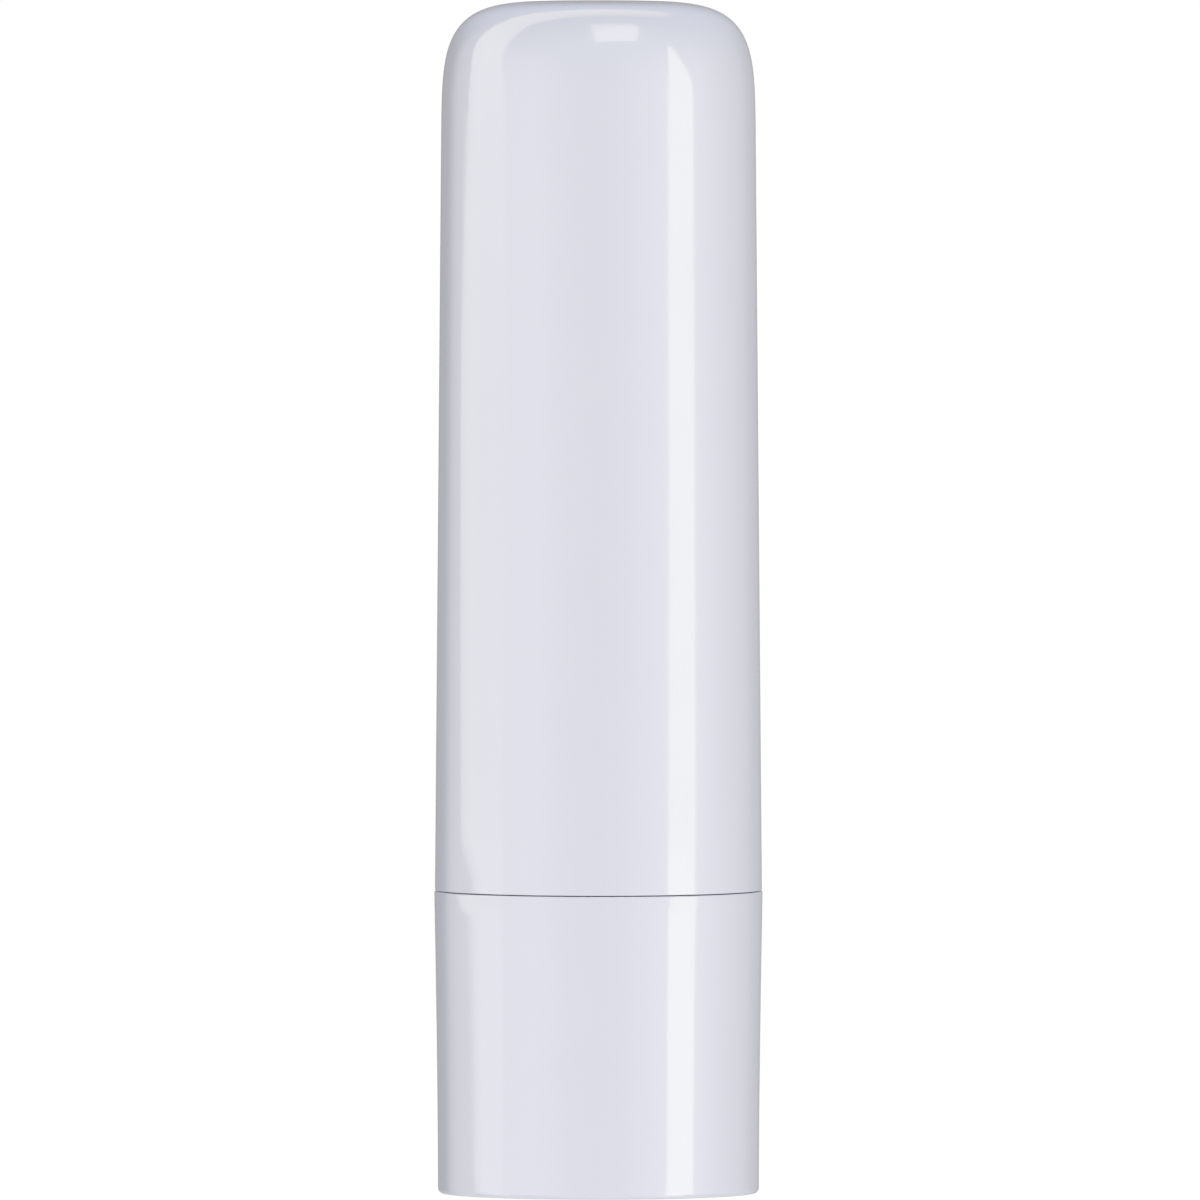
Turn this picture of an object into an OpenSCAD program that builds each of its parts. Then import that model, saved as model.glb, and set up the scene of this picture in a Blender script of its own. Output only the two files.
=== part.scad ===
// Twist-up lip balm stick: a domed cap over a turning base, with the barrel, screw,
// carrier and balm inside. Sizes are millimetres. The stick stands on z = 0, and z is its axis.

/* [Outside] */
// Height of the whole stick
total_h = 69; // [60:0.5:90]
// Diameter of the base at its top edge, the widest place
body_d = 19; // [18:0.1:24]
// Height of the base, up to the seam
base_h = 17.5; // [15:0.05:22]
// How far the base narrows on each side, from its top edge to its foot
base_flare = 0.215; // [0.1:0.005:0.4]
// How the base's flare is spread: 1 is a plain cone, more keeps it near the top edge
flare_power = 1.6; // [1:0.1:3]
// Round between the base's side and its foot
foot_round = 0.3; // [0.2:0.05:1.2]
// Gap between the cap and the base at the seam
seam_gap = 0.05; // [0.05:0.05:0.4]
// How far the cap's rim is set back from the base's edge
cap_setback = 0.04; // [0:0.01:0.2]
// Draft of the cap's wall on each side, in degrees
cap_draft = 0.475; // [0.1:0.025:0.8]
// Height over which the dome rounds into the wall
dome_h = 9; // [6:0.1:10]
// Squareness of the dome: 2 is an ellipse, more is squarer
dome_power = 4.75; // [2.5:0.05:6]
// Chamfer on both edges of the seam
seam_edge = 0.08; // [0.05:0.01:0.25]

/* [Cap] */
// Wall of the cap
cap_wall = 1.1; // [0.9:0.05:1.3]
// Thickness of the cap's top
cap_top = 1.3; // [1:0.1:2]
// Ribs inside the cap that grip the neck and stop on its mouth
cap_ribs = 6; // [3:1:8]
// Width of a cap rib
cap_rib_w = 0.8; // [0.5:0.1:1.2]
// How far a rib reaches over the barrel's mouth
cap_rib_step = 0.35; // [0.2:0.05:0.5]
// Height of a rib's straight part above the mouth
cap_rib_stop_h = 2; // [1:0.5:4]
// Height over which a rib runs out into the wall
cap_rib_fade_h = 3; // [2:0.5:5]
// Gap between the neck and the ribs
cap_rib_clear = 0.08; // [0.05:0.01:0.1]
// Gap between the neck's mouth and the cap's wall
neck_clear = 0.2; // [0.15:0.05:0.4]
// Height of the cap's snap ring above its rim
snap_ring_up = 1.8; // [1.2:0.1:2.2]
// Radius of the snap ring's section
snap_ring_r = 0.3; // [0.2:0.05:0.4]

/* [Base] */
// Wall of the base at its foot
base_wall = 0.95; // [0.8:0.05:1.1]
// Thickness of the base's floor
floor_t = 1.1; // [0.9:0.1:2]
// Depth of the hollow under the base
hollow_t = 0.4; // [0.2:0.1:0.8]
// Width of the ring that the base stands on
foot_ring_w = 2; // [1:0.1:3]
// Height of the socket that holds the screw
socket_h = 2.3; // [1.5:0.1:4]
// Wall of the socket
socket_wall = 1.1; // [0.8:0.1:1.5]
// Ribs that brace the socket
socket_ribs = 4; // [3:1:6]
// Thickness of a socket rib
socket_rib_t = 0.7; // [0.5:0.1:1]
// Reach of a socket rib, beyond the socket
socket_rib_l = 2.6; // [1.5:0.1:3]

/* [Barrel] */
// Running gap between the barrel and the base
turn_clear = 0.07; // [0.04:0.01:0.1]
// Gap between the barrel's end and the base's floor
barrel_lift = 0.5; // [0.3:0.1:1]
// Wall of the neck at its mouth
neck_wall = 0.7; // [0.6:0.05:0.9]
// How much wider the neck is at its root, on each side
neck_draft = 0.07; // [0.02:0.01:0.12]
// Height of the two bands that run in the base
band_h = 2.5; // [1.5:0.1:4]
// Depth of the relief between the bands
band_relief = 0.2; // [0.1:0.05:0.3]
// Height of the snap bead above the barrel's end
bead_up = 6; // [4:0.5:8]
// Radius of the snap bead's section
bead_r = 0.35; // [0.25:0.05:0.45]
// How far the bead stands out of the bands
bead_out = 0.25; // [0.2:0.01:0.3]
// Height of the neck's own bead above the seam
neck_bead_up = 3; // [2.8:0.1:3.4]
// How far the neck's bead stands out
neck_bead_out = 0.15; // [0.1:0.01:0.16]
// Keys that stop the carrier from turning
keys = 4; // [3:1:6]
// Width of a key
key_w = 1; // [0.6:0.1:1.4]
// Height of a key
key_h = 0.4; // [0.3:0.05:0.5]
// Distance of the keys' ends from the mouth
key_end = 1; // [0.6:0.1:2]

/* [Screw] */
// Rise of the carrier for one turn of the base
lead = 4; // [3:0.25:6]
// Separate threads on the screw
starts = 2; // [1:1:3]
// Radius of the screw between the threads
root_r = 1.7; // [1.4:0.1:2]
// Height of the thread
thread_h = 0.8; // [0.5:0.05:1]
// Thickness of the thread at its root, along the axis
thread_root_w = 1; // [0.8:0.1:1.2]
// Thickness of the thread at its crest, along the axis
thread_crest_w = 0.4; // [0.3:0.1:0.6]
// Gap between the screw's thread and the carrier's
thread_clear = 0.2; // [0.15:0.01:0.25]
// Length of thread still engaged when the balm is all the way up
thread_left = 3; // [2:0.5:4]
// Radius of the screw's foot
foot_r = 2.3; // [2:0.1:2.6]
// Depth of the two flats that key the foot in its socket
foot_flat = 0.5; // [0.3:0.1:0.7]
// Radius of the screw's flange
flange_r = 3.2; // [3:0.1:4]
// Thickness of the flange
flange_t = 0.7; // [0.5:0.1:1.2]

/* [Carrier and balm] */
// Height of the carrier's cup
cup_h = 6.2; // [5:0.1:8]
// Wall of the carrier's cup
cup_wall = 0.8; // [0.7:0.05:1]
// Thickness of the carrier's floor
cup_floor = 1; // [0.8:0.1:1.5]
// Wall of the carrier's hub outside its thread
hub_wall = 0.8; // [0.6:0.1:1.1]
// Gap between the carrier and the flange at the bottom of its travel
rest_gap = 0.3; // [0.2:0.1:0.6]
// Gap between the carrier and the barrel's bore
carrier_clear = 0.12; // [0.1:0.01:0.2]
// Fins inside the cup that hold the balm
cup_fins = 4; // [3:1:6]
// Thickness of a fin
fin_t = 0.6; // [0.4:0.1:0.8]
// Height of a fin above the carrier's floor
fin_h = 3.4; // [2:0.2:3.8]
// Gap between the balm and the barrel's bore
balm_clear = 0.2; // [0.15:0.01:0.3]
// Gap between the balm and the screw
bore_clear = 0.25; // [0.2:0.05:0.4]
// Height of the balm's domed tip
tip_dome = 1.6; // [0.8:0.1:2.4]
// How far the balm's tip stays under the mouth at rest
tip_below = 0.3; // [0:0.1:2]
// How far the carrier's rim stays under the mouth when it is all the way up
rim_below = 0.5; // [0.2:0.1:1.5]
// Room between the raised balm and the cap's top
raised_clear = 1.5; // [1:0.1:3]

/* [Hidden] */

white = [0.93, 0.93, 0.95];
natural = [0.87, 0.88, 0.88];
wax = [0.95, 0.91, 0.80];
around = 120;
arc_steps = 8;
dome_steps = 22;
thread_points = 24;
thread_slices = 16;
weld = 0.3;
over = 1;

// Radii of the shells, from the outside in
top_r = body_d / 2;
base_foot_r = top_r - base_flare;
cap_rim_r = top_r - cap_setback;
base_bore_r = base_foot_r - base_wall;
band_r = base_bore_r - turn_clear;

// Heights that everything inside is stacked on
floor_z = hollow_t + floor_t;
cap_z = base_h + seam_gap;
barrel_z = floor_z + barrel_lift;
flange_z = floor_z + socket_h;
thread_z = flange_z + flange_t;
carrier_z = thread_z + rest_gap;
cup_rim_z = carrier_z + cup_h;
inner_top_z = total_h - cap_top;

// The mouth is as high as lets the raised balm clear the cap's top
mouth_z = (inner_top_z - raised_clear + tip_below + rim_below + cup_rim_z) / 2;
travel = mouth_z - rim_below - cup_rim_z;
tip_z = mouth_z - tip_below;
spindle_top_z = carrier_z + travel + thread_left;

// Radii of what is inside the neck
dome_z = total_h - dome_h;
neck_r = cap_outer_r(mouth_z) - cap_wall - neck_clear;
neck_root_r = neck_r + neck_draft;
neck_bore_r = neck_r - neck_wall;
balm_r = neck_bore_r - balm_clear;
carrier_r = neck_bore_r - carrier_clear;
cup_r = carrier_r - cup_wall;
crest_r = root_r + thread_h;
hub_r = crest_r + thread_clear + hub_wall;
neck_bead_z = base_h + neck_bead_up;
bead_z = barrel_z + bead_up;

echo(mouth_z = mouth_z, travel = travel, tip_z = tip_z, spindle_top_z = spindle_top_z);
echo(turns = travel / lead, raised_tip_z = tip_z + travel, inner_top_z = inner_top_z);

// Outer radius of the cap's straight wall at height z
function cap_outer_r(z) = cap_rim_r - (z - cap_z) * tan(cap_draft);

// Outer radius of the base at height z
function base_outer_r(z) = base_foot_r + base_flare * pow(z / base_h, flare_power);

// Points of a rounded-square dome over the tapered wall, thinned by the wall and the top
function dome_points(wall, top) = [
    for (i = [0:dome_steps])
        let (t = 90 * i / dome_steps)
        let (z = dome_z + (dome_h - top) * pow(sin(t), 2 / dome_power))
        [(cap_outer_r(z) - wall) * (i == dome_steps ? 0 : pow(cos(t), 2 / dome_power)), z]
];

// Height of the thread at angle a, with its flanks moved out by gap
function thread_rise(a, gap) =
    let (apart = 360 / starts)
    let (off = abs((a + apart / 2) % apart - apart / 2) * lead / 360)
    thread_h * max(0, min(1, (thread_root_w / 2 + gap - off) * 2 / (thread_root_w - thread_crest_w)));

// Cross-section of the screw, or with a gap of the hole that fits it
function thread_outline(gap) = [
    for (i = [0:thread_points - 1])
        let (a = 360 * i / thread_points)
        (root_r + gap + thread_rise(a, gap)) * [cos(a), sin(a)]
];

module turned(points) {
    rotate_extrude($fn = around) polygon(points);
}

// Left-hand thread that starts at z = 0
module thread(height, gap) {
    linear_extrude(height = height, twist = 360 * height / lead, slices = ceil(height / lead * thread_slices))
        polygon(thread_outline(gap));
}

// Copies of a child in a ring, the first one turned by start degrees
module ring_of(count, start = 0) {
    for (i = [0:count - 1]) rotate([0, 0, start + 360 * i / count]) children();
}

// Rib in the plane of x and z, from its outline of radius and height
module upright_rib(points, thickness) {
    rotate([90, 0, 0])
        linear_extrude(height = thickness, center = true)
            polygon(points);
}

module cap_shell() {
    turned(concat(
        [[0, cap_z], [cap_rim_r - seam_edge, cap_z], [cap_rim_r, cap_z + seam_edge]],
        dome_points(0, 0)
    ));
}

module cap_hollow() {
    turned(concat(
        [[0, cap_z - over], [cap_rim_r - cap_wall, cap_z - over], [cap_rim_r - cap_wall, cap_z]],
        dome_points(cap_wall, cap_top)
    ));
}

// The ribs run along the neck with a running gap, step over its mouth and rest on it
module cap_rib() {
    low = neck_bead_z + 1;
    grip_r = neck_root_r + cap_rib_clear;
    stop_r = neck_r - cap_rib_step;
    stop_z = mouth_z + cap_rib_stop_h;
    fade_z = stop_z + cap_rib_fade_h;
    upright_rib([
        [grip_r, low],
        [grip_r, mouth_z],
        [stop_r, mouth_z],
        [stop_r, stop_z],
        [cap_outer_r(fade_z) - cap_wall, fade_z],
        [cap_outer_r(fade_z) - cap_wall + weld, fade_z],
        [cap_outer_r(low) - cap_wall + weld, low]
    ], cap_rib_w);
}

// The snap ring passes the neck's bead with a running gap
module snap_ring() {
    inner_r = neck_root_r + neck_bead_out + cap_rib_clear;
    rotate_extrude($fn = around)
        translate([inner_r + snap_ring_r, cap_z + snap_ring_up])
            circle(r = snap_ring_r, $fn = 32);
}

module cap() {
    color(white) {
        difference() {
            cap_shell();
            cap_hollow();
        }
        ring_of(cap_ribs) cap_rib();
        snap_ring();
    }
}

module base_shell() {
    foot = [
        for (i = [0:arc_steps])
            let (a = 90 * i / arc_steps)
            [base_outer_r(foot_round) + foot_round * (sin(a) - 1), foot_round * (1 - cos(a))]
    ];
    side = [
        for (i = [1:arc_steps])
            let (z = foot_round + (base_h - seam_edge - foot_round) * i / arc_steps)
            [base_outer_r(z), z]
    ];
    turned(concat([[0, 0]], foot, side, [[top_r - seam_edge, base_h], [0, base_h]]));
}

module base_hollow() {
    hollow_r = base_foot_r - foot_round - foot_ring_w;
    translate([0, 0, floor_z]) cylinder(r = base_bore_r, h = base_h, $fn = around);
    translate([0, 0, -over]) cylinder(r = hollow_r, h = over + hollow_t, $fn = around);
    rotate_extrude($fn = around)
        translate([band_r + bead_out - bead_r, bead_z])
            circle(r = bead_r + turn_clear, $fn = 32);
}

// Round foot with two flats
module screw_foot(height) {
    intersection() {
        cylinder(r = foot_r, h = height, $fn = around);
        translate([-foot_r, foot_flat - foot_r, 0])
            cube([2 * foot_r, 2 * (foot_r - foot_flat), height]);
    }
}

module socket() {
    socket_r = foot_r + socket_wall;
    translate([0, 0, floor_z - weld]) cylinder(r = socket_r, h = socket_h + weld, $fn = around);
    ring_of(socket_ribs, 45)
        upright_rib([
            [socket_r - weld, floor_z - weld],
            [socket_r + socket_rib_l, floor_z - weld],
            [socket_r + socket_rib_l, floor_z],
            [socket_r, flange_z - weld],
            [socket_r - weld, flange_z - weld]
        ], socket_rib_t);
}

module base() {
    color(white)
        difference() {
            union() {
                difference() {
                    base_shell();
                    base_hollow();
                }
                socket();
            }
            translate([0, 0, floor_z]) screw_foot(socket_h + over);
        }
}

module barrel_tube() {
    turned([
        [neck_bore_r, barrel_z],
        [band_r, barrel_z],
        [band_r, barrel_z + band_h],
        [band_r - band_relief, barrel_z + band_h],
        [band_r - band_relief, base_h - band_h],
        [band_r, base_h - band_h],
        [band_r, base_h - seam_edge],
        [neck_root_r, base_h - seam_edge],
        [neck_r, mouth_z - seam_edge],
        [neck_r - seam_edge, mouth_z],
        [neck_bore_r, mouth_z]
    ]);
}

module bead(centre_r, centre_z, section_r) {
    rotate_extrude($fn = around)
        translate([centre_r, centre_z])
            circle(r = section_r, $fn = 32);
}

module key() {
    translate([neck_bore_r - key_h, -key_w / 2, barrel_z])
        cube([key_h + weld, key_w, mouth_z - key_end - barrel_z]);
}

module barrel() {
    color(natural) {
        barrel_tube();
        bead(band_r + bead_out - bead_r, bead_z, bead_r);
        bead(neck_root_r + neck_bead_out - bead_r, neck_bead_z, bead_r);
        ring_of(keys) key();
    }
}

module spindle() {
    color(natural) {
        translate([0, 0, floor_z]) screw_foot(socket_h + flange_t / 2);
        translate([0, 0, flange_z]) cylinder(r = flange_r, h = flange_t, $fn = around);
        translate([0, 0, thread_z - weld])
            rotate([0, 0, 360 * weld / lead])
                thread(spindle_top_z - thread_z + weld, 0);
    }
}

// What the keys run in: gap is the room on each side and under a key
module key_way(low, high, gap) {
    translate([neck_bore_r - key_h - gap, -key_w / 2 - gap, low])
        cube([key_h + gap + over, key_w + 2 * gap, high - low]);
}

module hub() {
    translate([0, 0, carrier_z]) cylinder(r = hub_r, h = cup_h, $fn = around);
}

module fins() {
    fin_z = carrier_z + cup_floor;
    ring_of(cup_fins, 45)
        translate([hub_r - weld, -fin_t / 2, fin_z - weld])
            cube([cup_r - hub_r + 2 * weld, fin_t, fin_h + weld]);
}

// The carrier's thread is cut in step with the screw's
module carrier() {
    color(natural)
        difference() {
            union() {
                turned([
                    [0, carrier_z],
                    [carrier_r, carrier_z],
                    [carrier_r, cup_rim_z],
                    [cup_r, cup_rim_z],
                    [cup_r, carrier_z + cup_floor],
                    [0, carrier_z + cup_floor]
                ]);
                hub();
                fins();
            }
            ring_of(keys) key_way(carrier_z - over, cup_rim_z + over, carrier_clear);
            translate([0, 0, carrier_z - over])
                rotate([0, 0, -360 * (carrier_z - over - thread_z) / lead])
                    thread(cup_h + 2 * over, thread_clear);
        }
}

// The balm is cast in the cup, round the hub and the fins, and keeps a bore for the screw
module balm() {
    color(wax)
        difference() {
            turned([
                [0, carrier_z + cup_floor],
                [cup_r, carrier_z + cup_floor],
                [cup_r, cup_rim_z],
                [balm_r, cup_rim_z],
                for (i = [0:arc_steps])
                    let (a = 90 * i / arc_steps)
                    [i == arc_steps ? 0 : balm_r * cos(a), tip_z - tip_dome + tip_dome * sin(a)]
            ]);
            hub();
            fins();
            ring_of(keys) key_way(cup_rim_z, tip_z + over, balm_clear);
            translate([0, 0, cup_rim_z - over])
                cylinder(r = crest_r + bore_clear, h = spindle_top_z + bore_clear - cup_rim_z + over, $fn = around);
        }
}

cap();
base();
barrel();
spindle();
carrier();
balm();
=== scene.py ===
import math

import bmesh
import bpy
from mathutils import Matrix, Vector


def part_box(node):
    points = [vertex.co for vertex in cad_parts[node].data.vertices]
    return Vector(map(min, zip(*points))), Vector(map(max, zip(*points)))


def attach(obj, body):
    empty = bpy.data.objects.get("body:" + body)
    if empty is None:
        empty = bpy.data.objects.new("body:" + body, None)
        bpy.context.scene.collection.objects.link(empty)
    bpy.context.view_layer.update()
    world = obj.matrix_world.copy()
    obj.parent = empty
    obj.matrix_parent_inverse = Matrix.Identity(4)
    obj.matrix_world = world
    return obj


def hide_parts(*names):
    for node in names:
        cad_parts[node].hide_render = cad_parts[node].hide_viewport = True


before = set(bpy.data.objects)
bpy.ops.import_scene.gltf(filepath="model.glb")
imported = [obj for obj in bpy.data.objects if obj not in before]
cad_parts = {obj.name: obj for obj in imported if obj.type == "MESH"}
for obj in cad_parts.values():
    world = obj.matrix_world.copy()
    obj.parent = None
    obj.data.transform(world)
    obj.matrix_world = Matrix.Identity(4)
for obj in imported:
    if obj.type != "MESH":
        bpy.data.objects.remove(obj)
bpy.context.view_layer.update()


# Base
# The short sleeve that stands on the table and is turned by hand. It is one glossy white moulding:
# a slightly flared wall, a floor that stands on a ring, and a ribbed socket for the screw's foot.
base_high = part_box("base")[1]
base_h = base_high.z
base_edge_r = base_high.x
base_flare = 0.000215
flare_power = 1.6
seam_edge = 0.00008
foot_round = 0.0003
foot_ring_w = 0.002
foot_hollow = 0.0004
base_wall = 0.00095
floor_z = 0.0015
gate_r = 0.0006
gate_h = 0.00015
small_edge = 0.0001
socket_r = 0.0034
socket_h = 0.0023
socket_ribs = 4
socket_rib_w = 0.0007
socket_rib_reach = 0.0026
socket_rib_drop = 0.0003
screw_foot_r = 0.0023
screw_foot_flat = 0.0018
groove_z = 0.008
groove_centre_r = 0.008165
groove_section = 0.00042
crease = 0.00001
sharp_angle = 38
columns_in_all = 192
columns_across = 4
edge_steps = 3
seam_steps = 6
groove_steps = 8
foot_steps = 14
wall_steps = 14
rib_steps = 4


def arc(centre_r, centre_z, size, start, end, steps):
    """Points (radius, height) of a round edge or groove, from one angle to another in degrees."""
    turns = [math.radians(start + (end - start) * i / steps) for i in range(steps + 1)]
    return [(centre_r + size * math.cos(a), centre_z + size * math.sin(a)) for a in turns]


def columns_past(features=()):
    """How the columns of points stand round the axis, as a function of the radius.

    A feature is (angle, width, name): a rib, key or slot with parallel sides. Each side gets a pair
    of columns a hair apart, and every column says which feature it is on, or None.
    """
    features = sorted(features)
    if not features:
        even = [(2 * math.pi * i / columns_in_all, None) for i in range(columns_in_all)]
        return lambda radius: even
    share = columns_in_all // len(features)
    widest = math.pi / 2 / len(features)

    def columns(radius):
        sides = [min(widest, math.asin(min(1, width / 2 / radius))) for _, width, _ in features]
        step = min(crease / radius, widest / share)
        found = []
        for k, (centre, _, name) in enumerate(features):
            last = k + 1 == len(features)
            following = features[0][0] + 2 * math.pi if last else features[k + 1][0]
            start = centre + sides[k] + step
            end = following - sides[0 if last else k + 1] - step
            for i in range(columns_across + 1):
                found.append((centre + sides[k] * (2 * i / columns_across - 1), name))
            found += [(start + (end - start) * i / share, None) for i in range(share + 1)]
        return found

    return columns


def spaced(count, width, name, first=0.0):
    """The same feature count times round the axis."""
    return [(first + 2 * math.pi * i / count, width, name) for i in range(count)]


def on_feature(plain, **others):
    """A ring of points that is (radius, height) in general and something else on named features."""
    return lambda angle, feature: others.get(feature, plain)


def flatted(radius, flat, height):
    """A ring of a round with two flats, at plus and minus flat on the y axis."""
    return lambda angle, feature: (flat / max(abs(math.sin(angle)), flat / radius), height)


def skin(name, rings, columns, closed=False):
    """Skins rings of points round the z axis, from first to last. A ring is (radius, height), or a
    function of a column's angle and feature that gives them, and a radius of 0 is a single point."""
    points, rows = [], []
    for ring in rings:
        at = ring if callable(ring) else (lambda angle, feature, ring=ring: ring)
        radius, height = at(0.0, None)
        row = []
        for angle, feature in [(0.0, None)] if radius == 0 else columns(radius):
            r, z = at(angle, feature)
            row.append(len(points))
            points.append((r * math.cos(angle), r * math.sin(angle), z))
        rows.append(row)
    faces = []
    for low, high in list(zip(rows, rows[1:])) + ([(rows[-1], rows[0])] if closed else []):
        count = max(len(low), len(high))
        for i in range(count):
            j = (i + 1) % count
            corners = (low[i % len(low)], low[j % len(low)], high[j % len(high)], high[i % len(high)])
            faces.append(tuple(dict.fromkeys(corners)))
    mesh = bpy.data.meshes.new(name)
    mesh.from_pydata(points, [], faces)
    work = bmesh.new()
    work.from_mesh(mesh)
    bmesh.ops.recalc_face_normals(work, faces=work.faces)
    work.to_mesh(mesh)
    work.free()
    mesh.shade_smooth()
    mesh.set_sharp_from_angle(angle=math.radians(sharp_angle))
    piece = bpy.data.objects.new(name, mesh)
    bpy.context.scene.collection.objects.link(piece)
    return piece


base_foot_r = base_edge_r - base_flare * ((base_h - seam_edge) / base_h) ** flare_power
base_bore_r = base_foot_r - base_wall
base_hollow_r = base_foot_r - foot_round - foot_ring_w
flange_z = floor_z + socket_h
socket_rib_end = socket_r + socket_rib_reach
socket_rib_top = flange_z - socket_rib_drop


def base_outer_r(z):
    """Outer radius of the base at height z."""
    return base_foot_r + base_flare * (z / base_h) ** flare_power


def socket_rib_ring(share):
    """A ring across the base's floor, with the ribs' slanting tops share of the way up."""
    r = socket_rib_end - socket_rib_reach * share
    return on_feature((r, floor_z), rib=(r, floor_z + (socket_rib_top - floor_z) * share))


wall_top = base_h - seam_edge
groove_reach = math.degrees(math.acos((base_bore_r - groove_centre_r) / groove_section))
base_rings = [
    (0, foot_hollow - gate_h),
    (gate_r - small_edge, foot_hollow - gate_h),
    (gate_r, foot_hollow - gate_h / 2),
    (gate_r + small_edge, foot_hollow),
    *arc(base_hollow_r - small_edge, foot_hollow - small_edge, small_edge, 90, 0, edge_steps),
    *arc(base_hollow_r + small_edge, small_edge, small_edge, 180, 270, edge_steps),
    *arc(base_outer_r(foot_round) - foot_round, foot_round, foot_round, -90, 0, foot_steps),
]
for i in range(1, wall_steps + 1):
    z = foot_round + (wall_top - foot_round) * i / wall_steps
    base_rings.append((base_outer_r(z), z))
base_rings += [
    *arc(base_edge_r - seam_edge, wall_top, seam_edge, 0, 90, seam_steps)[1:],
    *arc(base_bore_r + small_edge, base_h - small_edge, small_edge, 90, 180, edge_steps),
    *arc(groove_centre_r, groove_z, groove_section, groove_reach, -groove_reach, groove_steps),
    *arc(base_bore_r - small_edge, floor_z + small_edge, small_edge, 0, -90, edge_steps),
    *[socket_rib_ring(i / rib_steps) for i in range(rib_steps)],
    on_feature((socket_r + crease, floor_z), rib=(socket_r + crease, socket_rib_top)),
    (socket_r, socket_rib_top + crease),
    *arc(socket_r - small_edge, flange_z - small_edge, small_edge, 0, 90, edge_steps),
    flatted(screw_foot_r + small_edge, screw_foot_flat + small_edge, flange_z),
    flatted(screw_foot_r, screw_foot_flat, flange_z - small_edge),
    flatted(screw_foot_r, screw_foot_flat, floor_z),
    (0, floor_z),
]
base = skin("base_shell", base_rings, columns_past(spaced(socket_ribs, socket_rib_w, "rib", math.pi / 4)))
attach(base, "base")
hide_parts("base")


def add_node(tree, kind, inputs=None, **settings):
    """A new node with its settings, and each input either linked from a socket or given a value."""
    node = tree.nodes.new(kind)
    for setting, value in settings.items():
        setattr(node, setting, value)
    for socket, value in (inputs or {}).items():
        if isinstance(value, bpy.types.NodeSocket):
            tree.links.new(value, node.inputs[socket])
        else:
            node.inputs[socket].default_value = value
    return node


cloud_detail = 3.0
cloud_limits = (0.3, 0.7)
grain_detail = 2.0


def surface_group():
    """Node group of a moulded or cast surface: clouds of a second colour and roughness, and a grain."""
    group = bpy.data.node_groups.new("moulded_surface", "ShaderNodeTree")
    for name, kind in (
        ("Colour", "NodeSocketColor"),
        ("Cloud Colour", "NodeSocketColor"),
        ("Cloud Scale", "NodeSocketFloat"),
        ("Roughness", "NodeSocketFloat"),
        ("Roughness Spread", "NodeSocketFloat"),
        ("Grain Scale", "NodeSocketFloat"),
    ):
        group.interface.new_socket(name, in_out="INPUT", socket_type=kind)
    for name, kind in (
        ("Colour", "NodeSocketColor"),
        ("Roughness", "NodeSocketFloat"),
        ("Height", "NodeSocketFloat"),
    ):
        group.interface.new_socket(name, in_out="OUTPUT", socket_type=kind)
    given = group.nodes.new("NodeGroupInput").outputs
    place = add_node(group, "ShaderNodeTexCoord").outputs["Object"]
    cloud_pattern = {"Vector": place, "Scale": given["Cloud Scale"], "Detail": cloud_detail}
    clouds = add_node(group, "ShaderNodeTexNoise", cloud_pattern)
    limits = {"From Min": cloud_limits[0], "From Max": cloud_limits[1]}
    cloud = add_node(group, "ShaderNodeMapRange", {"Value": clouds.outputs["Fac"], **limits})
    tint = add_node(group, "ShaderNodeMix", data_type="RGBA")
    group.links.new(cloud.outputs["Result"], tint.inputs[0])
    group.links.new(given["Colour"], tint.inputs[6])
    group.links.new(given["Cloud Colour"], tint.inputs[7])
    swing = add_node(group, "ShaderNodeMath", {0: cloud.outputs["Result"], 1: 0.5}, operation="SUBTRACT")
    rough = add_node(
        group,
        "ShaderNodeMath",
        {0: swing.outputs[0], 1: given["Roughness Spread"], 2: given["Roughness"]},
        operation="MULTIPLY_ADD",
    )
    grain_pattern = {"Vector": place, "Scale": given["Grain Scale"], "Detail": grain_detail}
    grain = add_node(group, "ShaderNodeTexNoise", grain_pattern)
    result = group.nodes.new("NodeGroupOutput").inputs
    group.links.new(tint.outputs[2], result["Colour"])
    group.links.new(rough.outputs[0], result["Roughness"])
    group.links.new(grain.outputs["Fac"], result["Height"])
    return group


moulded_surface = surface_group()


def surface_material(name, looks, grain_depth, **shader_values):
    """A material whose colour, roughness and grain come from the group, with its own looks."""
    material = bpy.data.materials.new(name)
    material.use_nodes = True
    tree = material.node_tree
    shader = tree.nodes["Principled BSDF"]
    for socket, value in shader_values.items():
        shader.inputs[socket.replace("_", " ")].default_value = value
    surface = add_node(tree, "ShaderNodeGroup", node_tree=moulded_surface)
    for socket, value in looks.items():
        surface.inputs[socket].default_value = value
    relief = {"Height": surface.outputs["Height"], "Strength": 1.0, "Distance": grain_depth}
    bump = add_node(tree, "ShaderNodeBump", relief)
    tree.links.new(surface.outputs["Colour"], shader.inputs["Base Color"])
    tree.links.new(surface.outputs["Roughness"], shader.inputs["Roughness"])
    tree.links.new(bump.outputs["Normal"], shader.inputs["Normal"])
    return material


glossy_white = surface_material(
    "glossy_white",
    {
        "Colour": (0.748, 0.761, 0.828, 1),
        "Cloud Colour": (0.741, 0.754, 0.822, 1),
        "Cloud Scale": 220.0,
        "Roughness": 0.1,
        "Roughness Spread": 0.02,
        "Grain Scale": 700.0,
    },
    grain_depth=0.0000006,
    IOR=1.49,
)
base.data.materials.append(glossy_white)


# Spindle
# The screw that lifts the balm, moulded in natural polypropylene. Its foot is pressed into the
# base's socket, where two flats keep it from slipping, and its left-hand thread has two starts.
spindle_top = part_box("spindle")[1].z
flange_r = 0.0032
thread_z = 0.0045
lead = 0.004
thread_starts = 2
root_r = 0.0017
thread_h = 0.0008
thread_root_w = 0.001
thread_crest_w = 0.0004
thread_ring_step = 0.0002
thread_end_edge = 0.0003


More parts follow.
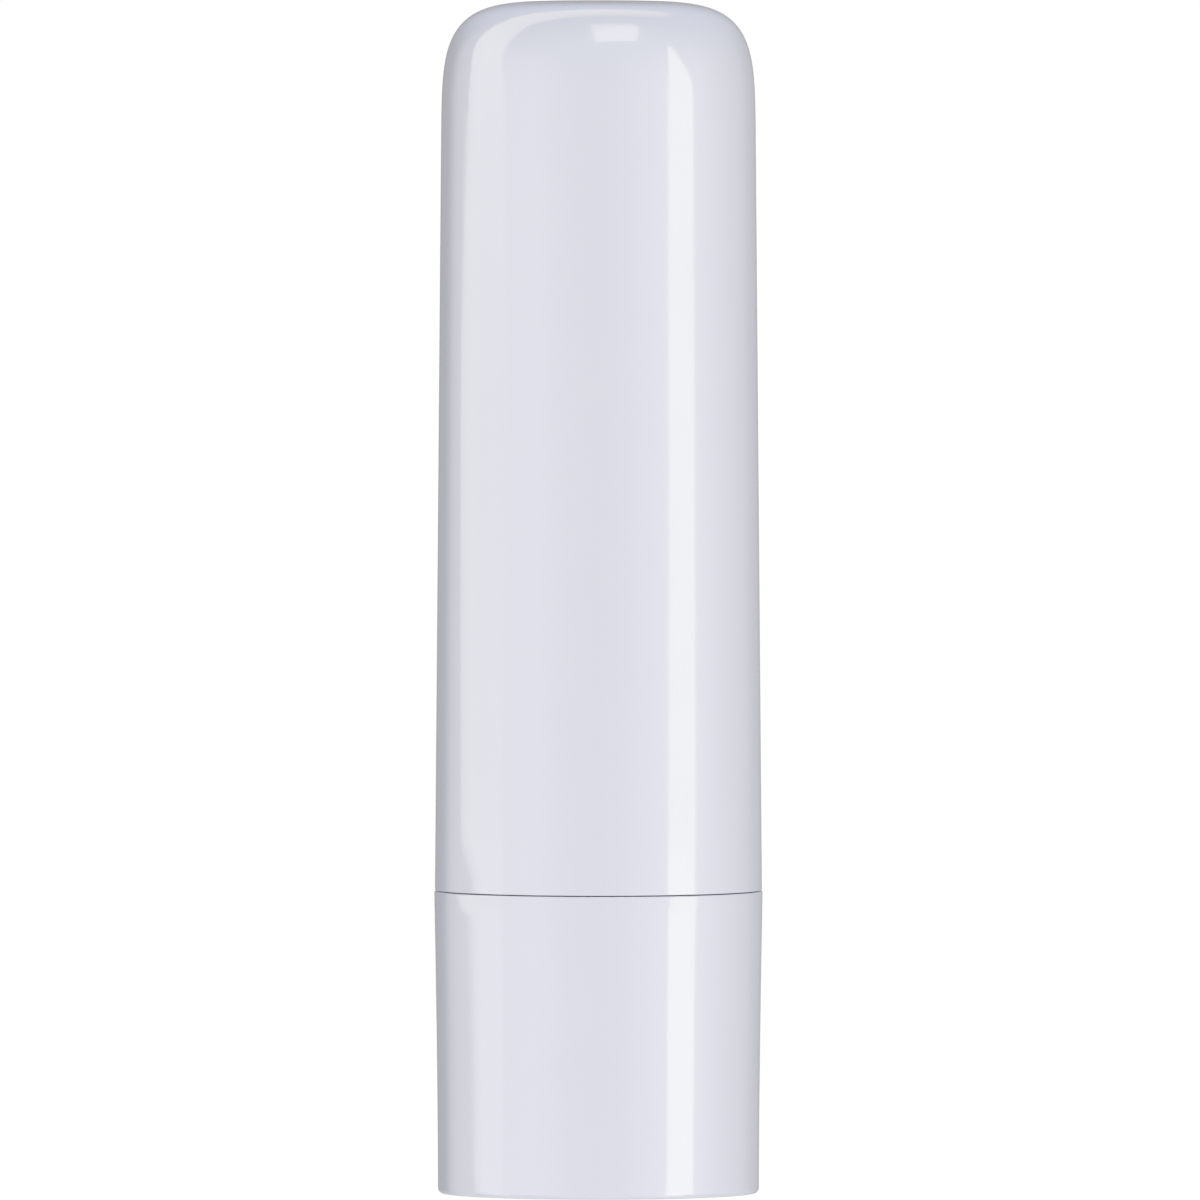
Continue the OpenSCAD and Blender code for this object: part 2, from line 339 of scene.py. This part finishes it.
def thread_r(angle, z, gap=0.0):
    """Radius of the screw at an angle and height, or with a gap of the hole that fits it."""
    apart = 2 * math.pi / thread_starts
    turned = (angle + 2 * math.pi * (z - thread_z) / lead + apart / 2) % apart - apart / 2
    along = abs(turned) * lead / (2 * math.pi)
    flank = (thread_root_w / 2 + gap - along) * 2 / (thread_root_w - thread_crest_w)
    return root_r + gap + thread_h * max(0, min(1, flank))


def thread_ring(z, gap=0.0, trim=0.0):
    """A ring of the thread at height z, its crests trimmed off near an end."""
    return lambda angle, feature: (min(thread_r(angle, z, gap), root_r + thread_h + gap - trim), z)


thread_run = spindle_top - thread_end_edge - thread_z
thread_rings = math.ceil(thread_run / thread_ring_step)
spindle_rings = [
    (0, floor_z),
    flatted(screw_foot_r - small_edge, screw_foot_flat - small_edge, floor_z),
    flatted(screw_foot_r, screw_foot_flat, floor_z + small_edge),
    flatted(screw_foot_r, screw_foot_flat, flange_z),
    *arc(flange_r - small_edge, flange_z + small_edge, small_edge, -90, 0, edge_steps),
    *arc(flange_r - small_edge, thread_z - small_edge, small_edge, 0, 90, edge_steps),
]
for i in range(thread_rings + 1):
    z = thread_z + thread_run * i / thread_rings
    spindle_rings.append(thread_ring(z))
spindle_rings += [
    thread_ring(spindle_top, trim=thread_end_edge),
    (0, spindle_top),
]
spindle = skin("spindle_screw", spindle_rings, columns_past())
natural_white = surface_material(
    "natural_white",
    {
        "Colour": (0.79, 0.795, 0.79, 1),
        "Cloud Colour": (0.78, 0.787, 0.782, 1),
        "Cloud Scale": 160.0,
        "Roughness": 0.3,
        "Roughness Spread": 0.04,
        "Grain Scale": 5000.0,
    },
    grain_depth=0.0000015,
    IOR=1.49,
)
spindle.data.materials.append(natural_white)
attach(spindle, "base")
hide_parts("spindle")


# Barrel
# The inner tube, moulded in natural polypropylene. Its skirt snaps into the base and turns there on
# two bands, its neck holds the cap by a bead, and four keys in its bore guide the carrier.
barrel_low, barrel_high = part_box("barrel")
barrel_z = barrel_low.z
mouth_z = barrel_high.z
turn_clear = 0.00007
band_r = base_bore_r - turn_clear
band_h = 0.0025
band_relief = 0.0002
bead_section = 0.00035
bead_out = 0.00025
neck_root_r = 0.00805
neck_r = 0.00798
neck_wall = 0.0007
neck_bead_z = base_h + 0.003
neck_bead_out = 0.00015
keys = 4
key_w = 0.001
key_h = 0.0004
key_end = 0.001
key_lead = 0.0002
mouth_edge = 0.00012
mouth_steps = 5
neck_bore_r = neck_r - neck_wall
relief_r = band_r - band_relief
bead_centre_r = band_r + bead_out - bead_section
neck_bead_centre_r = neck_root_r + neck_bead_out - bead_section
bead_reach = math.degrees(math.acos((relief_r - bead_centre_r) / bead_section))
neck_bead_reach = math.degrees(math.acos((neck_root_r - neck_bead_centre_r) / bead_section))
key_top = mouth_z - key_end
key_face_r = neck_bore_r - key_h
barrel_rings = [
    *arc(band_r - small_edge, barrel_z + small_edge, small_edge, -90, 0, edge_steps),
    (band_r, barrel_z + band_h - small_edge),
    (relief_r, barrel_z + band_h),
    *arc(bead_centre_r, groove_z, bead_section, -bead_reach, bead_reach, groove_steps),
    (relief_r, base_h - band_h),
    (band_r, base_h - band_h + small_edge),
    *arc(band_r - small_edge, wall_top - small_edge, small_edge, 0, 90, edge_steps),
    (neck_root_r, wall_top),
    *arc(neck_bead_centre_r, neck_bead_z, bead_section, -neck_bead_reach, neck_bead_reach, groove_steps),
    *arc(neck_r - mouth_edge, mouth_z - mouth_edge, mouth_edge, 0, 90, mouth_steps),
    *arc(neck_bore_r + mouth_edge, mouth_z - mouth_edge, mouth_edge, 90, 180, mouth_steps),
    (neck_bore_r, key_top),
    on_feature((neck_bore_r, key_top - key_lead), key=(key_face_r, key_top - key_lead)),
    on_feature((neck_bore_r, barrel_z + small_edge), key=(key_face_r, barrel_z + small_edge)),
    on_feature((neck_bore_r + small_edge, barrel_z), key=(key_face_r + small_edge, barrel_z)),
]
barrel = skin("barrel_tube", barrel_rings, columns_past(spaced(keys, key_w, "key")), closed=True)
barrel.data.materials.append(natural_white)
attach(barrel, "barrel")
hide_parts("barrel")


# Carrier
# The cup that holds the balm and climbs the screw, moulded in natural polypropylene. Its hub has the
# screw's thread inside, slots in its wall run on the barrel's keys, and four fins grip the wax.
carrier_low, carrier_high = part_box("carrier")
carrier_z = carrier_low.z
cup_rim_z = carrier_high.z
carrier_clear = 0.00012
carrier_r = neck_bore_r - carrier_clear
cup_wall = 0.0008
cup_floor = 0.001
hub_r = 0.0035
cup_fins = 4
fin_w = 0.0006
fin_h = 0.0034
thread_gap = 0.0002
cup_edge = 0.00005
slot_w = key_w + 2 * carrier_clear
slot_r = key_face_r - carrier_clear
cup_r = carrier_r - cup_wall
cup_floor_z = carrier_z + cup_floor
fin_z = cup_floor_z + fin_h


def slotted(r, z):
    """A ring of the cup's outside, with the slots for the keys."""
    return on_feature((r, z), slot=(min(r, slot_r), z))


hub_rings = math.ceil((cup_rim_z - carrier_z) / thread_ring_step)
carrier_rings = [
    slotted(carrier_r - small_edge, carrier_z),
    slotted(carrier_r, carrier_z + small_edge),
    slotted(carrier_r, cup_rim_z - cup_edge),
    slotted(carrier_r - cup_edge, cup_rim_z),
    (cup_r + cup_edge, cup_rim_z),
    (cup_r, cup_rim_z - cup_edge),
    (cup_r, fin_z + cup_edge),
    on_feature((cup_r, cup_floor_z), fin=(cup_r - crease, fin_z)),
    on_feature((hub_r, cup_floor_z), fin=(hub_r + crease, fin_z)),
    (hub_r, fin_z + cup_edge),
    (hub_r, cup_rim_z - cup_edge),
    (hub_r - cup_edge, cup_rim_z),
]
for i in range(hub_rings + 1):
    z = cup_rim_z + (carrier_z - cup_rim_z) * i / hub_rings
    carrier_rings.append(thread_ring(z, thread_gap))
carrier_features = spaced(keys, slot_w, "slot") + spaced(cup_fins, fin_w, "fin", math.pi / 4)
carrier = skin("carrier_cup", carrier_rings, columns_past(carrier_features), closed=True)
carrier.data.materials.append(natural_white)
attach(carrier, "carrier")
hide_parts("carrier")


# Balm
# The stick of ivory wax, cast into the carrier's cup and round the screw, with a domed tip. Its
# sides have the grooves that the barrel's keys left in it, and its skin is smooth and slightly oily.
tip_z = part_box("balm")[1].z
balm_clear = 0.0002
balm_r = neck_bore_r - balm_clear
tip_dome = 0.0016
tip_steps = 18
screw_gap = 0.00025
screw_hole_r = root_r + thread_h + screw_gap
screw_hole_top = spindle_top + screw_gap
wax_groove_w = key_w + 2 * balm_clear
wax_groove_r = key_face_r - balm_clear


def grooved(r, z):
    """A ring of the balm's outside, with the grooves for the keys."""
    return on_feature((r, z), groove=(min(r, wax_groove_r), z))


balm_rings = [(0, tip_z)]
for i in range(1, tip_steps + 1):
    a = math.pi / 2 * (1 - i / tip_steps)
    balm_rings.append(grooved(balm_r * math.cos(a), tip_z - tip_dome + tip_dome * math.sin(a)))
balm_rings += [
    grooved(balm_r, (tip_z + cup_rim_z) / 2),
    grooved(balm_r, cup_rim_z + crease),
    (cup_r - crease, cup_rim_z),
    (cup_r - crease, cup_floor_z + crease),
    (hub_r + crease, cup_floor_z + crease),
    (hub_r + crease, cup_rim_z + crease),
    (screw_hole_r, cup_rim_z + 2 * crease),
    (screw_hole_r, screw_hole_top - small_edge),
    (screw_hole_r - small_edge, screw_hole_top),
    (0, screw_hole_top),
]
balm = skin("balm_stick", balm_rings, columns_past(spaced(keys, wax_groove_w, "groove")))
balm_wax = surface_material(
    "balm_wax",
    {
        "Colour": (0.86, 0.79, 0.62, 1),
        "Cloud Colour": (0.83, 0.755, 0.58, 1),
        "Cloud Scale": 260.0,
        "Roughness": 0.36,
        "Roughness Spread": 0.12,
        "Grain Scale": 900.0,
    },
    grain_depth=0.000012,
    IOR=1.44,
    Subsurface_Weight=0.35,
    Subsurface_Scale=0.0015,
)
balm.data.materials.append(balm_wax)
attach(balm, "carrier")
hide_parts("balm")


# Cap
# The tall outer cap, one glossy white moulding with a soft square-shouldered dome and a slight draft.
# It snaps over the neck's bead, and six ribs inside it grip the neck and rest on its mouth.
cap_low, cap_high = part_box("cap")
cap_z = cap_low.z
cap_rim_r = 0.00946
cap_edge = 0.00004
cap_edge_steps = 8
total_h = cap_high.z
cap_draft = 0.475
cap_wall = 0.0011
cap_top = 0.0013
dome_h = 0.009
dome_power = 4.75
dome_steps = 30
cap_wall_steps = 12
cap_ribs = 6
cap_rib_w = 0.0008
rib_clear = 0.00008
rib_above_bead = 0.001
rib_step = 0.00035
rib_stop_h = 0.002
rib_fade_h = 0.003
snap_ring_up = 0.0018
snap_ring_section = 0.0003
snap_ring_steps = 6
cap_slope = math.tan(math.radians(cap_draft))
dome_z = total_h - dome_h
snap_ring_z = cap_z + snap_ring_up
rib_grip_r = neck_root_r + rib_clear
rib_stop_r = neck_r - rib_step
rib_low = neck_bead_z + rib_above_bead
rib_stop_z = mouth_z + rib_stop_h
rib_fade_z = rib_stop_z + rib_fade_h
snap_ring_centre_r = neck_root_r + neck_bead_out + rib_clear + snap_ring_section
snap_ring_reach = math.degrees(math.acos((snap_ring_centre_r - cap_rim_r + cap_wall) / snap_ring_section))


def cap_outer_r(z):
    """Outer radius of the cap's drafted wall at height z."""
    return cap_rim_r - (z - cap_z) * cap_slope


def dome_rings(wall=0.0, top=0.0):
    """Rings of the rounded-square dome from its pole down, thinned by the wall and the top."""
    half = 0.5 ** (1 / dome_power)
    rings = [(0, total_h - top)]
    for i in range(1, 2 * dome_steps + 1):
        if i <= dome_steps:
            across = half * i / dome_steps
            up = (1 - across**dome_power) ** (1 / dome_power)
        else:
            up = half * (2 - i / dome_steps)
            across = (1 - up**dome_power) ** (1 / dome_power)
        z = dome_z + (dome_h - top) * up
        rings.append(((cap_outer_r(z) - wall) * across, z))
    return rings


def inside(z, rib_r=None, rib_z=None):
    """A ring of the cap's inner wall at height z, and its ribs' faces where it has them."""
    wall_r = cap_outer_r(z) - cap_wall
    return on_feature((wall_r, z), rib=(rib_r or wall_r, rib_z or z))


cap_rings = dome_rings()
for i in range(1, cap_wall_steps):
    z = dome_z + (cap_z + cap_edge - dome_z) * i / cap_wall_steps
    cap_rings.append((cap_outer_r(z), z))
cap_rings += [
    *arc(cap_rim_r - cap_edge, cap_z + cap_edge, cap_edge, 0, -90, cap_edge_steps),
    *arc(cap_rim_r - cap_wall + small_edge, cap_z + small_edge, small_edge, -90, -180, edge_steps),
    *arc(
        snap_ring_centre_r,
        snap_ring_z,
        snap_ring_section,
        180 + snap_ring_reach,
        180 - snap_ring_reach,
        snap_ring_steps,
    ),
    inside(rib_low),
    inside(rib_low + small_edge, rib_grip_r),
    inside(mouth_z - crease, rib_grip_r),
    inside(mouth_z, rib_stop_r + small_edge, mouth_z),
    inside(mouth_z + small_edge, rib_stop_r),
    inside(rib_stop_z, rib_stop_r),
    inside(rib_fade_z),
    *reversed(dome_rings(cap_wall, cap_top)),
]
cap = skin("cap_shell", cap_rings, columns_past(spaced(cap_ribs, cap_rib_w, "rib")))
cap.data.materials.append(glossy_white)
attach(cap, "cap")
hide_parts("cap")


# Table
# A plain round table top of opal acrylic under the stick, lit from below as for product photos. It
# is matt, it keeps a faint shadow, and to the camera it glows up to the white of the background.
table_r = 0.6
table_colour = 0.25
table_glow = 0.7
table_glow_seen = 0.84
table_roughness = 0.9
table = skin("table_top", [(0, 0), (table_r / 2, 0), (table_r, 0)], columns_past())
table_white = bpy.data.materials.new("table_white")
table_white.use_nodes = True
tree = table_white.node_tree
shader = tree.nodes["Principled BSDF"]
shader.inputs["Base Color"].default_value = (table_colour, table_colour, table_colour, 1)
shader.inputs["Roughness"].default_value = table_roughness
shader.inputs["Specular IOR Level"].default_value = 0.0
shader.inputs["Emission Color"].default_value = (1, 1, 1, 1)


def level_for(tree, lighting, seen):
    """One level for rays that light a surface, another for rays of the camera, the gloss or glass."""
    path = add_node(tree, "ShaderNodeLightPath").outputs
    direct = {0: path["Is Camera Ray"], 1: path["Is Glossy Ray"]}
    either = add_node(tree, "ShaderNodeMath", direct, operation="MAXIMUM")
    every = {0: either.outputs[0], 1: path["Is Transmission Ray"]}
    share = add_node(tree, "ShaderNodeMath", every, operation="MAXIMUM")
    levels = {"Value": share.outputs[0], "To Min": lighting, "To Max": seen}
    return add_node(tree, "ShaderNodeMapRange", levels).outputs["Result"]


tree.links.new(level_for(tree, table_glow, table_glow_seen), shader.inputs["Emission Strength"])
table_white.cycles.emission_sampling = "NONE"
table.data.materials.append(table_white)
table.visible_glossy = False


# Studio light
# White space on every side for the camera, the gloss and glass, and an even light on the stick. One
# large soft lamp stands in front, a little to the right, so that the front is the brightest side.
even_light = 0.6
white_seen = 1.0
softbox_w = 1.2
softbox_h = 1.0
softbox_power = 6.3
softbox_place = Vector((0.245, -1.39, 0.55))
softbox_aim = Vector((0, 0, 0.035))
world = bpy.data.worlds.new("white_studio")
bpy.context.scene.world = world
world.use_nodes = True
tree = world.node_tree
tree.nodes["Background"].inputs["Color"].default_value = (1, 1, 1, 1)
tree.links.new(level_for(tree, even_light, white_seen), tree.nodes["Background"].inputs["Strength"])

lamp_data = bpy.data.lights.new("front_softbox", "AREA")
lamp_data.shape = "RECTANGLE"
lamp_data.size = softbox_w
lamp_data.size_y = softbox_h
lamp_data.energy = softbox_power
lamp = bpy.data.objects.new("front_softbox", lamp_data)
lamp.location = softbox_place
lamp.rotation_mode = "QUATERNION"
lamp.rotation_quaternion = (softbox_aim - softbox_place).to_track_quat("-Z", "Y")
lamp.visible_camera = False
lamp.visible_glossy = False
bpy.context.scene.collection.objects.link(lamp)


# Cards and cloths
# What the gloss reflects: a grey tent round the stick, a lit strip at the right, a white banner at
# the left that leans over to the back, and a box overhead. They show only in the gloss.
card_centre = Vector((0, 0, 0.062))
card_distance = 0.6
tent_r = 0.8
tent_reach = 88
tent_steps = 44
tent_peak = 2.7
tent_lights = (
    (-180, 0.36),
    (-163, 0.28),
    (-153, 0.15),
    (-146, 0.0),
    (-139, 0.03),
    (-129, 0.62),
    (-118, 0.92),
    (-99, 1.0),
    (-92, 2.7),
    (-72, 2.7),
    (-48, 2.4),
    (-18, 1.05),
    (0, 0.75),
    (14, 0.9),
    (50, 2.3),
    (78, 2.3),
    (98, 1.35),
    (116, 0.82),
    (140, 0.38),
    (160, 0.42),
    (180, 0.36),
)
tent_tint = (1.0, 0.96, 1.01)
tent_top_light = 1.25
tent_top_tint = (0.87, 0.98, 1.28)
tent_top_span = (0.04, 0.87)
tent_low_light = 0.7
tent_low_span = (-0.2, -0.6)


def towards(azimuth, elevation, distance):
    """The point at a distance from the cards' centre, in a direction counted from the camera's side."""
    a, e = math.radians(azimuth), math.radians(elevation)
    direction = Vector((math.sin(a) * math.cos(e), -math.cos(a) * math.cos(e), math.sin(e)))
    return card_centre + distance * direction


def only_in_gloss(thing):
    """Keeps a card out of sight of the camera, and out of the even light and the shadows."""
    thing.visible_camera = False
    thing.visible_diffuse = False
    thing.visible_shadow = False
    thing.visible_transmission = False


def glow_material(name, colour=(1, 1, 1)):
    """A material that only glows."""
    material = bpy.data.materials.new(name)
    material.use_nodes = True
    tree = material.node_tree
    tree.nodes.remove(tree.nodes["Principled BSDF"])
    glow = add_node(tree, "ShaderNodeEmission", {"Color": (*colour, 1)})
    tree.links.new(glow.outputs[0], tree.nodes["Material Output"].inputs["Surface"])
    material.cycles.emission_sampling = "NONE"
    return material


def card(name, tint, rows):
    """A lit card through rows of points. A point is its azimuth and elevation in degrees and its
    brightness, and the light runs evenly from one point to the next."""
    points = [towards(azimuth, elevation, card_distance) for row in rows for azimuth, elevation, _ in row]
    across = len(rows[0])
    faces = []
    for i in range(len(rows) - 1):
        for j in range(across - 1):
            k = i * across + j
            faces.append((k, k + 1, k + across + 1, k + across))
    mesh = bpy.data.meshes.new(name)
    mesh.from_pydata(points, [], faces)
    light = mesh.attributes.new("light", "FLOAT", "POINT")
    light.data.foreach_set("value", [point[2] for row in rows for point in row])
    thing = bpy.data.objects.new(name, mesh)
    bpy.context.scene.collection.objects.link(thing)
    cloth = glow_material(name, tint)
    tree = cloth.node_tree
    own_light = add_node(tree, "ShaderNodeAttribute", attribute_name="light").outputs["Fac"]
    tree.links.new(own_light, tree.nodes["Emission"].inputs["Strength"])
    mesh.materials.append(cloth)
    only_in_gloss(thing)


card(
    "right_strip",
    (1.06, 1.04, 0.89),
    [
        ((48, -52, 1.6), (70, -52, 1.6)),
        ((49, -25, 5.3), (71, -25, 5.3)),
        ((50, -8, 5.2), (72, -8, 5.2)),
        ((50, -5.5, 4.75), (72.5, -5.5, 4.75)),
        ((51.5, -3, 4.85), (73.5, -3, 4.85)),
        ((52, 3, 4.85), (74, 4, 4.85)),
        ((53, 10, 4.85), (72, 9.5, 4.85)),
        ((55, 19, 4.85), (66.5, 18.5, 4.85)),
        ((58, 27, 4.85), (64.5, 27, 4.85)),
        ((61, 33, 4.85), (63.5, 33, 4.85)),
    ],
)
card(
    "left_banner",
    (1.045, 1.035, 1.01),
    [
        ((-84, -52, 1.0), (-78, -52, 1.2), (-72, -52, 1.2)),
        ((-88, -25, 3.0), (-82, -25, 3.4), (-72, -25, 3.3)),
        ((-101, -8.5, 2.0), (-92, -8.5, 3.3), (-72, -8.5, 3.3)),
        ((-105, -7.8, 2.0), (-95, -7.8, 3.2), (-72, -7.8, 3.3)),
        ((-113, -6.2, 2.1), (-101, -6.2, 3.0), (-72, -6.2, 3.2)),
        ((-117, -3.6, 2.2), (-104, -3.6, 2.9), (-72, -3.6, 3.0)),
        ((-119, -2, 2.2), (-104, -2, 2.9), (-72, -2, 3.0)),
        ((-111, 0, 2.6), (-100, 0, 3.3), (-72, 0, 3.35)),
        ((-111, 8, 2.7), (-98, 8, 3.45), (-75, 8, 3.6)),
        ((-114, 15, 2.8), (-98, 15, 3.6), (-79.5, 15, 3.7)),
        ((-120, 28, 2.9), (-100, 28, 3.5), (-82, 28, 3.65)),
        ((-126, 38, 2.8), (-105, 39, 3.2), (-84.5, 39, 3.4)),
        ((-140, 45, 2.4), (-116, 50, 3.0), (-92, 50, 3.2)),
        ((-156, 46, 2.2), (-134, 56, 2.75), (-109, 59.5, 3.0)),
        ((-169, 43, 1.9), (-153, 56, 2.35), (-135, 66, 2.65)),
        ((-180, 38, 1.7), (-172, 53, 2.0), (-165, 65, 2.1)),
        ((-194, 41, 1.7), (-190, 53, 1.8), (-188, 62, 1.7)),
        ((-206, 49, 1.6), (-206, 54, 1.6), (-206, 59, 1.5)),
    ],
)
card(
    "overhead_box",
    (1.02, 1.0, 0.98),
    [
        ((-80, 86, 2.2), (100, 86, 1.9)),
        ((-25, 82, 3.1), (100, 75.5, 2.4)),
        ((-9.5, 70, 4.1), (70, 69, 4.0)),
        ((-3.5, 46, 4.05), (37, 45.5, 4.05)),
    ],
)

tent_rings = arc(0, card_centre.z, tent_r, -tent_reach, tent_reach, tent_steps)
tent = skin("grey_tent", tent_rings, columns_past())
tent_cloth = glow_material("tent_cloth")
tree = tent_cloth.node_tree
place = add_node(tree, "ShaderNodeTexCoord").outputs["Object"]
split = add_node(tree, "ShaderNodeSeparateXYZ", {"Vector": place})
front = add_node(tree, "ShaderNodeMath", {0: split.outputs["Y"], 1: -1.0}, operation="MULTIPLY")
sides = {0: split.outputs["X"], 1: front.outputs[0]}
azimuth = add_node(tree, "ShaderNodeMath", sides, operation="ARCTAN2")
whole_turn = {"Value": azimuth.outputs[0], "From Min": -math.pi, "From Max": math.pi}
share = add_node(tree, "ShaderNodeMapRange", whole_turn)
ramp = add_node(tree, "ShaderNodeValToRGB", {"Fac": share.outputs["Result"]})
stops = ramp.color_ramp.elements
for i, (degrees, brightness) in enumerate(tent_lights):
    stop = stops[i] if i < 2 else stops.new(1.0)
    stop.position = (degrees + 180) / 360
    stop.color = (*[brightness / tent_peak * part for part in tent_tint], 1)


def plain_beyond(colour, span, light, tint=(1, 1, 1)):
    """The tent's colour, going over to a plain light between two heights, in radiuses of the tent."""
    heights = {"From Min": card_centre.z + tent_r * span[0], "From Max": card_centre.z + tent_r * span[1]}
    heights["Value"] = split.outputs["Z"]
    share = add_node(tree, "ShaderNodeMapRange", heights, interpolation_type="SMOOTHSTEP")
    blend = add_node(tree, "ShaderNodeMix", {0: share.outputs["Result"], 6: colour}, data_type="RGBA")
    blend.inputs[7].default_value = (*[light / tent_peak * part for part in tint], 1)
    return blend.outputs[2]


upper = plain_beyond(ramp.outputs["Color"], tent_top_span, tent_top_light, tent_top_tint)
whole = plain_beyond(upper, tent_low_span, tent_low_light)
tree.links.new(whole, tree.nodes["Emission"].inputs["Color"])
tree.nodes["Emission"].inputs["Strength"].default_value = tent_peak
tent.data.materials.append(tent_cloth)
only_in_gloss(tent)


# Camera
# It stands 2.2 m in front of the stick with a very long lens, a little above it and looking down by
# less than two degrees, so that the stick just fills the height of a square picture.
lens_mm = 1141.2
camera_sees_to = 10.0
camera_place = Vector((0.00009, -2.2, 0.101))
camera_aim = Vector((0.00009, 0, 0.03433))
camera_data = bpy.data.cameras.new("camera")
camera_data.lens = lens_mm
camera_data.clip_end = camera_sees_to
camera = bpy.data.objects.new("camera", camera_data)
camera.location = camera_place
camera.rotation_mode = "QUATERNION"
camera.rotation_quaternion = (camera_aim - camera_place).to_track_quat("-Z", "Y")
bpy.context.scene.collection.objects.link(camera)
bpy.context.scene.camera = camera

bpy.context.scene.view_settings.view_transform = "Standard"
